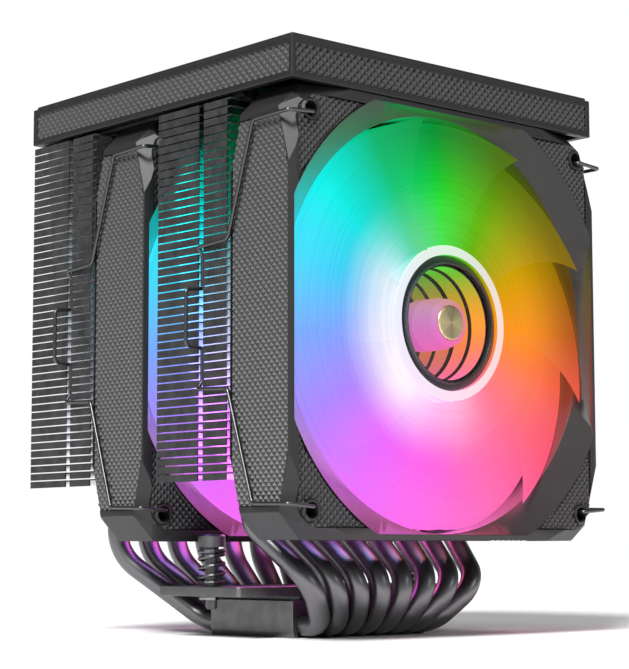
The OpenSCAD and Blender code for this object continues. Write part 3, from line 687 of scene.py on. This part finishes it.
def build_tile_tree():
    """A field of blunt pyramids, kept where the object's own solid is."""
    kit, into, out = geometry_tree("Pyramid tiles", [
        ("Tile size", "NodeSocketFloat", 0.0016), ("Tiles across", "NodeSocketInt", 10),
        ("Rise", "NodeSocketFloat", 0.0004), ("Backing", "NodeSocketFloat", 0.002),
        ("Base level", "NodeSocketFloat", 0.0), ("Blunt tip", "NodeSocketFloat", 0.12),
        ("Material", "NodeSocketMaterial", None)])
    count = into["Tiles across"]
    width = kit.math("MULTIPLY", into["Tile size"], count)
    corners = kit.math("ADD", count, 1.0)
    block = kit.node("ShaderNodeCombineXYZ", {0: width, 1: width, 2: into["Backing"]}).outputs[0]
    plate = kit.node("GeometryNodeMeshCube", {
        "Size": block, "Vertices X": corners, "Vertices Y": corners, "Vertices Z": 2})
    lean = kit.node("ShaderNodeSeparateXYZ", {
        0: kit.node("GeometryNodeInputNormal").outputs[0]}).outputs["Z"]
    grown = kit.node("GeometryNodeExtrudeMesh", {
        "Mesh": plate.outputs["Mesh"], "Selection": kit.math("GREATER_THAN", lean, 0.5),
        "Offset Scale": into["Rise"], "Individual": True})
    pointed = kit.node("GeometryNodeScaleElements", {
        "Geometry": grown.outputs["Mesh"], "Selection": grown.outputs["Top"],
        "Scale": into["Blunt tip"]})
    level = kit.math("SUBTRACT", into["Base level"], kit.math("MULTIPLY", into["Backing"], 0.5))
    placed = kit.node("GeometryNodeTransform", {
        "Geometry": pointed.outputs[0], "Rotation": (0.0, 0.0, math.radians(45)),
        "Translation": kit.node("ShaderNodeCombineXYZ", {2: level}).outputs[0]})
    cut = kit.node("GeometryNodeMeshBoolean", operation="INTERSECT", solver="MANIFOLD")
    kit.tree.links.new(placed.outputs[0], cut.inputs["Mesh 2"])
    kit.tree.links.new(into["Geometry"], cut.inputs["Mesh 2"])
    return finish_tree(kit, into, out, cut.outputs[0])


def build_tube_tree():
    """A round bar along the object's edges, rounded at each corner by its own bend radius."""
    kit, into, out = geometry_tree("Bent bar", [
        ("Radius", "NodeSocketFloat", 0.003), ("Sides", "NodeSocketInt", 32),
        ("Bend steps", "NodeSocketInt", 10), ("Material", "NodeSocketMaterial", None)])
    path = kit.node("GeometryNodeMeshToCurve", {"Mesh": into["Geometry"]}).outputs[0]
    bend = kit.node("GeometryNodeInputNamedAttribute", {"Name": "bend"}, data_type="FLOAT")
    round_path = kit.node("GeometryNodeFilletCurve", {
        "Curve": path, "Count": into["Bend steps"], "Radius": bend.outputs[0],
        "Limit Radius": True}, mode="POLY")
    ring = kit.node("GeometryNodeCurvePrimitiveCircle", {
        "Resolution": into["Sides"], "Radius": into["Radius"]})
    bar = kit.node("GeometryNodeCurveToMesh", {
        "Curve": round_path.outputs[0], "Profile Curve": ring.outputs[0], "Fill Caps": True})
    return finish_tree(kit, into, out, bar.outputs[0])


def grow(made, tree, **values):
    """Runs a geometry tree on the object and keeps the result as its plain mesh."""
    stage = made.modifiers.new(tree.name, "NODES")
    stage.node_group = tree
    sockets = {item.name: item.identifier for item in tree.interface.items_tree
               if item.in_out == "INPUT"}
    for key, value in values.items():
        stage[sockets[key.replace("_", " ").capitalize()]] = value
    return baked(made)


TREES = {}


# ---------- tiled panels ----------

def facing(normal):
    """Turn that brings local z to the outward normal."""
    return Vector(normal).to_track_quat("Z", "Y").to_matrix().to_4x4()


def keep_side(mesh, normal, centre):
    """Keeps only the separate solids of the mesh that lie furthest along the normal."""
    tidy = bmesh.new()
    tidy.from_mesh(mesh)
    tidy.verts.ensure_lookup_table()
    seen, drop = set(), []
    for first in tidy.verts:
        if first in seen:
            continue
        island, queue = [first], [first]
        seen.add(first)
        while queue:
            for edge in queue.pop().link_edges:
                for vert in edge.verts:
                    if vert not in seen:
                        seen.add(vert)
                        island.append(vert)
                        queue.append(vert)
        middle = sum((v.co for v in island), Vector()) / len(island) - centre
        out = middle.dot(Vector(normal))
        if out < max(abs(c) for c in middle) - 1e-6 or out <= 0:
            drop += island
    bmesh.ops.delete(tidy, geom=drop, context="VERTS")
    tidy.to_mesh(mesh)
    tidy.free()


def tile_solid(mesh, normal, tile, rise, proud):
    """Tiles the outer face of a flat solid; returns a mesh in the frame's own place."""
    turn = facing(normal)
    mesh.transform(turn.inverted())
    low = Vector([min(v.co[i] for v in mesh.vertices) for i in range(3)])
    high = Vector([max(v.co[i] for v in mesh.vertices) for i in range(3)])
    middle = (low + high) / 2
    mesh.transform(Matrix.Translation(-middle))
    half = (high.z - low.z) / 2
    for vert in mesh.vertices:
        if vert.co.z > 0:
            vert.co.z += proud + 0.0003
    block = add_object("tile_block", mesh)
    reach = (high - low).xy.length
    grow(block, TREES["tiles"], tile_size=tile, tiles_across=math.ceil(reach / tile) + 2,
         rise=rise, backing=2 * half + 0.003, base_level=half + proud - rise,
         material=MATERIALS["tiles"])
    done = block.data
    bpy.data.objects.remove(block)
    done.transform(turn @ Matrix.Translation(middle))
    return done


def join_meshes(name, meshes, material):
    whole = bmesh.new()
    for mesh in meshes:
        whole.from_mesh(mesh)
    done = bpy.data.meshes.new(name)
    whole.to_mesh(done)
    whole.free()
    made = add_object(name, done)
    paint(made, material)
    return made


def tiled_piece(name, node, normals, body, tile, rise, proud, centre=None):
    parts = []
    for normal in normals:
        mesh = merged_copy(node)
        if centre is not None:
            keep_side(mesh, normal, centre)
        parts.append(tile_solid(mesh, normal, tile, rise, proud))
    made = join_meshes(name, parts, "tiles")
    hand_over(made, body, "grip_plastic", node)
    return made


# ---------- rotors ----------

def blade_points(number, steps_out=14, steps_round=18):
    """Two skins of one swept blade, as rows of points round the fan's own centre."""
    part = sizes()
    root, tip = part.hub_r / MM - 0.3, TIP_R
    front, back = part.blade_front / MM, part.blade_back / MM
    skins = ([], [])
    for i in range(steps_out + 1):
        u = i / steps_out
        r = root + (tip - root) * u
        thick = (part.blade_root * (1 - u) + part.blade_tip * u) / MM
        middle = number * math.tau / part.blade_count - part.blade_sweep * (u ** 1.6 - 0.3)
        width = part.blade_cover * (1.12 - 0.12 * u)
        for j in range(steps_round + 1):
            t = j / steps_round
            angle = middle + width * (t - 0.5)
            rounded = 0.6 * math.sin(math.pi * t)
            depth = front + 0.4 + (back - front - 0.8) * (t + 0.12 * math.sin(math.pi * t) * (1 - t))
            edge = max(0.15, min(1.0, 5 * t, 6 * (1 - t)))
            lean = math.atan2((back - front), r * width)
            for skin, sign in zip(skins, (-1, 1)):
                off = sign * thick * edge / 2
                a = angle - math.sin(lean) * off / r
                y = depth - rounded + off * math.cos(lean)
                skin.append((r * math.cos(a), y, r * math.sin(a)))
    return skins, steps_out, steps_round


def blade_mesh(name, fan):
    points, faces = [], []
    shift = Vector((0.0, fan_face(fan), FAN_Z))
    for number in range(sizes().blade_count):
        (lower, upper), rows, columns = blade_points(number)
        start, size_of_skin = len(points), len(lower)
        points += [Vector(p) + shift for p in lower + upper]
        at = lambda skin, i, j: start + skin * size_of_skin + i * (columns + 1) + j
        for i in range(rows):
            for j in range(columns):
                for skin in (0, 1):
                    faces.append((at(skin, i, j), at(skin, i + 1, j),
                                  at(skin, i + 1, j + 1), at(skin, i, j + 1)))
            for j in (0, columns):
                faces.append((at(0, i, j), at(0, i + 1, j), at(1, i + 1, j), at(1, i, j)))
        for j in range(columns):
            for i in (0, rows):
                faces.append((at(0, i, j), at(0, i, j + 1), at(1, i, j + 1), at(1, i, j)))
    return plain_mesh(name, points, faces, 50)


def lathe(name, profile, fan, steps=128, angle=30):
    """Turns a closed profile of (radius, depth) points round the fan's axis."""
    points, faces = [], []
    shift = Vector((0.0, fan_face(fan), FAN_Z))
    count = len(profile)
    for k in range(steps):
        turn = math.tau * k / steps
        for r, y in profile:
            points.append(Vector((r * math.cos(turn), y, r * math.sin(turn))) + shift)
    for k in range(steps):
        after = (k + 1) % steps
        for i in range(count):
            n = (i + 1) % count
            if profile[i][0] < 1e-6 and profile[n][0] < 1e-6:
                continue
            faces.append((k * count + i, k * count + n, after * count + n, after * count + i))
    return plain_mesh(name, points, faces, angle)


def rounded(profile, radius=0.25, steps=3):
    """Rounds the corners of a closed profile."""
    done = []
    count = len(profile)
    for i in range(count):
        before, here, after = (Vector(profile[(i + k) % count]) for k in (-1, 0, 1))
        into, out = before - here, after - here
        if min(into.length, out.length) < 1e-4 or here.x < 1e-6:
            done.append(tuple(here))
            continue
        reach = min(radius, into.length * 0.45, out.length * 0.45)
        a, b = here + into.normalized() * reach, here + out.normalized() * reach
        for k in range(steps + 1):
            t = k / steps
            done.append(tuple(a * (1 - t) ** 2 + here * (2 * t * (1 - t)) + b * t ** 2))
    return done


# Depths behind a fan's face, in millimetres
RIM_BACK = 2.0
CUP_FLOOR = 9.4
GLASS_FRONT = 2.25
GLASS_BACK = 2.6


def build_rotor(fan):
    part = sizes()
    body, node = fan + "_rotor", fan + "_fan_rotor"
    hub, cup = part.hub_r / MM, part.cup_r / MM
    groove = cup + 2.65
    blades = add_object(fan + "_rotor_blades", blade_mesh(fan + "_rotor_blades", fan))
    paint(blades, "blades")
    hand_over(blades, body, "frosted_plastic", node)
    wall = rounded([(groove, 0.95), (hub - 0.5, 0.95), (hub, 1.5), (hub, 20.6), (hub - 1.5, 20.6),
                    (hub - 1.5, 11.2), (cup + 0.75, 11.2), (cup + 0.75, 10.3), (hub - 1.6, 10.3),
                    (hub - 1.6, 3.4), (groove, 3.4)], 0.4)
    hub_piece = add_object(fan + "_rotor_hub", lathe(fan + "_rotor_hub", wall, fan))
    paint(hub_piece, "hub", "blades")
    behind_rim = (fan_face(fan) + RIM_BACK) * MM
    for face in hub_piece.data.polygons:
        face.material_index = int(face.center.y > behind_rim)
    hand_over(hub_piece, body, "frosted_plastic", node)
    trim = rounded([(cup + 0.02, 1.25), (cup + 0.5, 1.0), (cup + 0.62, 2.4), (groove - 0.05, 2.4),
                    (groove - 0.05, 3.3), (cup + 0.02, 3.3)], 0.15)
    ring = add_object(fan + "_rotor_groove", lathe(fan + "_rotor_groove", trim, fan))
    paint(ring, "groove")
    hand_over(ring, body, "frosted_plastic", node)
    build_cup(fan, body, cup)


def build_cup(fan, body, cup):
    """Mirrored cup, its stepped boss and the spun cap on top of it."""
    node = fan + "_fan_hub_cup"
    wall = [(cup, 3.3), (cup + 0.55, 3.3), (cup + 0.55, 10.0), (0.0, 10.0), (0.0, CUP_FLOOR),
            (cup, CUP_FLOOR)]
    cup_piece = add_object(fan + "_cup", lathe(fan + "_cup", wall, fan))
    paint(cup_piece, "cup_wall", "mirror")
    floor_depth = (fan_face(fan) + CUP_FLOOR + 0.2) * MM
    for face in cup_piece.data.polygons:
        face.material_index = int(abs(face.normal.y) > 0.9 and face.center.y < floor_depth)
    hand_over(cup_piece, body, "mirror_cup", node)
    line = rounded([(cup - 0.55, 8.9), (cup - 0.02, 8.9), (cup - 0.02, 9.38),
                    (cup - 0.55, 9.38)], 0.08)
    line_piece = add_object(fan + "_cup_line", lathe(fan + "_cup_line", line, fan))
    paint(line_piece, "groove")
    hand_over(line_piece, body, "mirror_cup", node)
    pane = [(6.5, GLASS_FRONT), (cup - 0.05, GLASS_FRONT), (cup - 0.05, GLASS_BACK),
            (6.5, GLASS_BACK)]
    pane_piece = add_object(fan + "_cup_glass", lathe(fan + "_cup_glass", pane, fan))
    paint(pane_piece, "one_way")
    hand_over(pane_piece, body, "mirror_cup", node)
    lip = rounded([(cup - 0.5, 2.62), (cup - 0.02, 2.62), (cup - 0.02, 3.1),
                   (cup - 0.5, 3.1)], 0.08)
    lip_piece = add_object(fan + "_cup_lip", lathe(fan + "_cup_lip", lip, fan))
    paint(lip_piece, "groove")
    hand_over(lip_piece, body, "mirror_cup", node)
    # The boss glows with painted light, though it holds no lamp
    boss = rounded([(0.0, 1.8), (5.05, 1.8), (5.05, 1.25), (5.6, 1.05), (6.4, 1.5), (6.4, 2.6),
                    (6.9, 2.9), (6.9, 5.2), (7.3, 5.4), (7.3, 9.35), (0.0, 9.35)], 0.2)
    boss_piece = add_object(fan + "_boss", lathe(fan + "_boss", boss, fan))
    paint(boss_piece, "boss")
    hand_over(boss_piece, body, "mirror_cup", node)
    cap = rounded([(0.0, 0.9), (4.55, 0.9), (4.95, 1.2), (4.95, 1.78), (0.0, 1.78)], 0.15)
    cap_piece = add_object(fan + "_cap", lathe(fan + "_cap", cap, fan))
    paint(cap_piece, "brass")
    hand_over(cap_piece, body, "brass_cap", fan + "_fan_hub_cap")


# ---------- bent bars ----------

def bent_bar(name, path, bends, radius, material, sides, steps):
    """Round bar along a path of points in millimetres, with one bend radius per inner point."""
    mesh = bpy.data.meshes.new(name)
    mesh.from_pydata([Vector(p) * MM for p in path], [(i, i + 1) for i in range(len(path) - 1)], [])
    bend = mesh.attributes.new("bend", "FLOAT", "POINT")
    bend.data.foreach_set("value", [0.0] + [b * MM for b in bends] + [0.0])
    made = add_object(name, mesh)
    grow(made, TREES["bars"], radius=radius, sides=sides, bend_steps=steps,
         material=MATERIALS[material])
    smooth(made.data, 45)
    return made


PIPE_BENDS = (8.6, 8.6, 8.6, 14.0, 14.0)


def build_pipe(number):
    part = sizes()
    low = (number - 4.5) * part.pipe_low / MM
    high = (number - 4.5) * part.pipe_high / MM
    front = (FRONT_FIN[0].y + FRONT_FIN[1].y) / 2
    rear = (REAR_FIN[0].y + REAR_FIN[1].y) / 2
    node = f"heat_pipe_{number}"
    top = box_mm(node)[1].z - 1.2
    path = [(high, front, top), (high, front, 31.5), (low + (high - low) * 0.62, -33.5, 15.0),
            (low, -25.5, 3.5), (low, 24.6, 3.5), (high, rear, 23.5), (high, rear, top)]
    made = bent_bar(f"pipe_{number}", path, PIPE_BENDS, part.pipe_r, "pipes", 36, 14)
    half_base = box_mm("base_block")[1].y
    for vert in made.data.vertices:
        _, y, z = vert.co / MM
        pressed = min(1.0, max(0.0, (half_base + 1.0 - abs(y)) / 2.5))
        if z < 1.6 and pressed > 0:
            vert.co.z = (z * (1 - pressed)) * MM
    hand_over(made, "cooler", "black_pipe", node)


def build_clip(fan, side):
    sign = 1 if side == "right" else -1
    face = fan_face(fan)
    slot_y = 38.1
    # Upper half of the wire: x, depth behind the fan's face, height, radius of the bend
    half = [
        (52.5, 2.0, 51.6, 0.0), (52.5, -0.95, 51.6, 0.7), (61.55, -0.95, 50.9, 0.9),
        (60.95, 14.0, 50.6, 1.6), (60.95, 24.4, 20.0, 1.6), (60.0, slot_y, 19.4, 0.9),
        (58.55, slot_y, 17.2, 0.7), (58.55, slot_y, 8.2, 0.7), (64.2, slot_y, 7.6, 1.2)]
    whole = half + [(x, y, -z, bend) for x, y, z, bend in reversed(half)]
    path = [(sign * x, y + face, z + FAN_Z) for x, y, z, bend in whole]
    made = bent_bar(f"{fan}_clip_{side}_wire", path, [bend for *_, bend in whole[1:-1]],
                    sizes().wire_r, "wire", 14, 8)
    hand_over(made, f"{fan}_clip_{side}", "clip_wire", f"{fan}_clip_{side}")


# ---------- operators ----------

class COOLER_OT_finishes(bpy.types.Operator):
    """Build the shared node groups, the geometry trees and every finish"""
    bl_idname = "cooler.finishes"
    bl_label = "Finishes"

    def execute(self, context):
        GROUPS.update(grain=build_grain_group(), wear=build_wear_group(), dust=build_dust_group(),
                      brush=build_brush_group(), light=build_light_group())
        TREES.update(tiles=build_tile_tree(), bars=build_tube_tree())
        build_materials()
        return {"FINISHED"}


class COOLER_OT_rotors(bpy.types.Operator):
    """Build the two lit rotors with their mirrored cups and brass caps"""
    bl_idname = "cooler.rotors"
    bl_label = "Rotors"

    def execute(self, context):
        for fan in FANS:
            build_rotor(fan)
        return {"FINISHED"}


class COOLER_OT_pipes(bpy.types.Operator):
    """Sweep the eight heat pipes"""
    bl_idname = "cooler.pipes"
    bl_label = "Heat pipes"

    def execute(self, context):
        for number in PIPES:
            build_pipe(number)
        return {"FINISHED"}


class COOLER_OT_clips(bpy.types.Operator):
    """Bend the four wire clips"""
    bl_idname = "cooler.clips"
    bl_label = "Fan clips"

    def execute(self, context):
        for fan in FANS:
            for side in SIDES:
                build_clip(fan, side)
        return {"FINISHED"}


class COOLER_OT_panels(bpy.types.Operator):
    """Tile the panels of the fans and of the cover with pyramids"""
    bl_idname = "cooler.panels"
    bl_label = "Tiled panels"

    def execute(self, context):
        part = sizes()
        around = ((1, 0, 0), (0, 0, 1), (-1, 0, 0), (0, 0, -1))
        for fan in FANS:
            low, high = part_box(fan + "_fan_frame")
            tiled_piece(fan + "_side_tiles", fan + "_fan_grips", around, "cooler",
                        part.fan_tile, part.fan_tile_rise, 0.0001, (low + high) / 2)
            tiled_piece(fan + "_corner_tiles", fan + "_fan_pads", ((0, -1, 0),), "cooler",
                        part.fan_tile, part.fan_tile_rise, 0.0003)
        low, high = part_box("cover_shell")
        cover_sides = ((1, 0, 0), (0, -1, 0), (-1, 0, 0), (0, 1, 0))
        tiled_piece("cover_side_tiles", "cover_side_grips", cover_sides, "cooler",
                    part.cover_tile, part.cover_tile_rise, 0.0003, (low + high) / 2)
        tiled_piece("cover_top_tiles", "cover_top_plate", ((0, 0, 1),), "cooler",
                    part.cover_tile, part.cover_tile_rise, 0.0001)
        return {"FINISHED"}


class COOLER_OT_mouldings(bpy.types.Operator):
    """Smooth the fan frames' shading and round the cover's edges"""
    bl_idname = "cooler.mouldings"
    bl_label = "Mouldings"

    def execute(self, context):
        for fan in FANS:
            edged(fan + "_fan_frame", fan + "_frame_moulding", "cooler", "frame_plastic",
                  "frame", 0.0)
        edged("cover_shell", "cover_moulding", "cooler", "cover_plastic", "cover", sizes().edge)
        return {"FINISHED"}


class COOLER_OT_base(bpy.types.Operator):
    """Round the edges of the base block and of the mounting bar"""
    bl_idname = "cooler.base"
    bl_label = "Base and bar"

    def execute(self, context):
        edged("base_block", "base_body", "cooler", "base_metal", "base", sizes().metal_edge)
        edged("mounting_bar", "bar_body", "cooler", "bar_metal", "bar", sizes().metal_edge)
        return {"FINISHED"}


class COOLER_OT_carried(bpy.types.Operator):
    """Give the parts that keep their CAD mesh their finishes"""
    bl_idname = "cooler.carried"
    bl_label = "Carried parts"

    def execute(self, context):
        finish = {"front_fin_stack": "fins", "rear_fin_stack": "fins", "cover_bracket": "steel",
                  "cover_screws": "steel", "bar_screws": "steel"}
        for side in SIDES:
            finish["spring_" + side] = "spring"
            finish["spring_screw_" + side] = "screw"
            finish["retaining_ring_" + side] = "steel"
        for fan in FANS:
            finish.update({fan + "_fan_shaft": "ground", fan + "_fan_bearing": "bearing",
                           fan + "_fan_magnet": "magnet", fan + "_fan_stator": "core",
                           fan + "_fan_board": "board"})
        for node, name in finish.items():
            for held in NODES[node].material_slots:
                held.material = MATERIALS[name]
        return {"FINISHED"}


class COOLER_OT_stage(bpy.types.Operator):
    """Set the floor, the soft lights and the camera"""
    bl_idname = "cooler.stage"
    bl_label = "Stage"

    def execute(self, context):
        for spare in ("Cube", "Light", "Camera"):
            if spare in bpy.data.objects:
                bpy.data.objects.remove(bpy.data.objects[spare])
        build_floor()
        build_lights(context.scene)
        build_camera(context.scene)
        return {"FINISHED"}


def build_floor():
    reach = 4000
    mesh = plain_mesh("floor", [(-reach, -reach, 0), (reach, -reach, 0), (reach, reach, 0),
                                (-reach, reach, 0)], [(0, 1, 2, 3)])
    floor = add_object("floor", mesh)
    made, kit, shader, place = start_material("pale_floor")
    cloud = kit.node("ShaderNodeTexNoise", {"Vector": place, "Scale": 6.0, "Detail": 3.0})
    tone = kit.mix(cloud.outputs[0], (0.93, 0.93, 0.93, 1.0), (0.96, 0.96, 0.96, 1.0))
    kit.tree.links.new(tone, shader.inputs["Base Color"])
    shader.inputs["Roughness"].default_value = 0.7
    mesh.materials.append(made)


def area_light(name, place, target, size_m, power):
    lamp = bpy.data.lights.new(name, "AREA")
    lamp.shape = "SQUARE"
    lamp.size = size_m
    lamp.energy = power
    made = bpy.data.objects.new(name, lamp)
    bpy.context.scene.collection.objects.link(made)
    made.location = place
    made.rotation_euler = (Vector(target) - Vector(place)).to_track_quat("-Z", "Y").to_euler()
    return made


# World light for diffuse rays, and what glossy rays get on top; seen directly it is white
WORLD_LEVEL = 0.12
WORLD_SHINE = 0.14
KEY_POWER = 5.4
KEY_SOFTNESS = math.radians(20)
KEY_AIM = (0.68, 0.34, -0.66)


def build_lights(scene):
    world = scene.world or bpy.data.worlds.new("studio")
    scene.world = world
    world.use_nodes = True
    kit = Tree(world.node_tree)
    back = world.node_tree.nodes["Background"]
    back.inputs[0].default_value = (1.0, 1.0, 1.0, 1.0)
    path = kit.node("ShaderNodeLightPath").outputs
    shine = kit.math("MULTIPLY_ADD", path["Is Glossy Ray"], WORLD_SHINE, WORLD_LEVEL)
    kit.tree.links.new(kit.math("MAXIMUM", shine, path["Is Camera Ray"]), back.inputs[1])
    key = bpy.data.lights.new("key_light", "SUN")
    key.energy = KEY_POWER
    key.angle = KEY_SOFTNESS
    lamp = bpy.data.objects.new("key_light", key)
    scene.collection.objects.link(lamp)
    lamp.rotation_euler = Vector(KEY_AIM).to_track_quat("-Z", "Y").to_euler()
    middle = (0.0, 0.0, 0.09)
    area_light("front_softbox", (0.5, -1.6, 0.9), middle, 0.8, 5.0)
    area_light("top_softbox", (0.0, 0.1, 1.6), middle, 1.2, 8.0)


CAMERA_PLACE = (-0.3913, -0.4379, 0.0238)
CAMERA_TURN, CAMERA_RISE, CAMERA_ROLL = (math.radians(a) for a in (41.675, 6.27, -0.099))
CAMERA_LENS = 106.64


def build_camera(scene):
    lens = bpy.data.cameras.new("camera")
    lens.lens = CAMERA_LENS
    lens.sensor_width = 36.0
    lens.clip_start = 0.01
    camera = bpy.data.objects.new("camera", lens)
    scene.collection.objects.link(camera)
    level = math.cos(CAMERA_RISE)
    aim = Vector((math.sin(CAMERA_TURN) * level, math.cos(CAMERA_TURN) * level,
                  math.sin(CAMERA_RISE)))
    look = aim.to_track_quat("-Z", "Y").to_matrix() @ Matrix.Rotation(CAMERA_ROLL, 3, "Z")
    camera.matrix_world = Matrix.Translation(CAMERA_PLACE) @ look.to_4x4()
    scene.camera = camera
    scene.view_settings.view_transform = "Standard"


class COOLER_PT_panel(bpy.types.Panel):
    """Builds the cooler piece by piece"""
    bl_idname = "COOLER_PT_panel"
    bl_label = "Tower cooler"
    bl_space_type = "VIEW_3D"
    bl_region_type = "UI"
    bl_category = "Cooler"

    def draw(self, context):
        for step in STEPS:
            self.layout.operator(step.bl_idname)
        for settings in (context.scene.cooler_sizes, context.scene.cooler_colours):
            for key in settings.__annotations__:
                self.layout.prop(settings, key)


STEPS = (COOLER_OT_finishes, COOLER_OT_rotors, COOLER_OT_pipes, COOLER_OT_clips,
         COOLER_OT_panels, COOLER_OT_mouldings, COOLER_OT_base, COOLER_OT_carried,
         COOLER_OT_stage)
CLASSES = (CoolerSizes, CoolerColours) + STEPS + (COOLER_PT_panel,)


def register():
    for made in CLASSES:
        bpy.utils.register_class(made)
    bpy.types.Scene.cooler_sizes = PointerProperty(type=CoolerSizes)
    bpy.types.Scene.cooler_colours = PointerProperty(type=CoolerColours)


def unregister():
    del bpy.types.Scene.cooler_colours
    del bpy.types.Scene.cooler_sizes
    for made in reversed(CLASSES):
        bpy.utils.unregister_class(made)


def main():
    register()
    for step in STEPS:
        family, verb = step.bl_idname.split(".")
        getattr(getattr(bpy.ops, family), verb)()


if __name__ == "__main__":
    main()
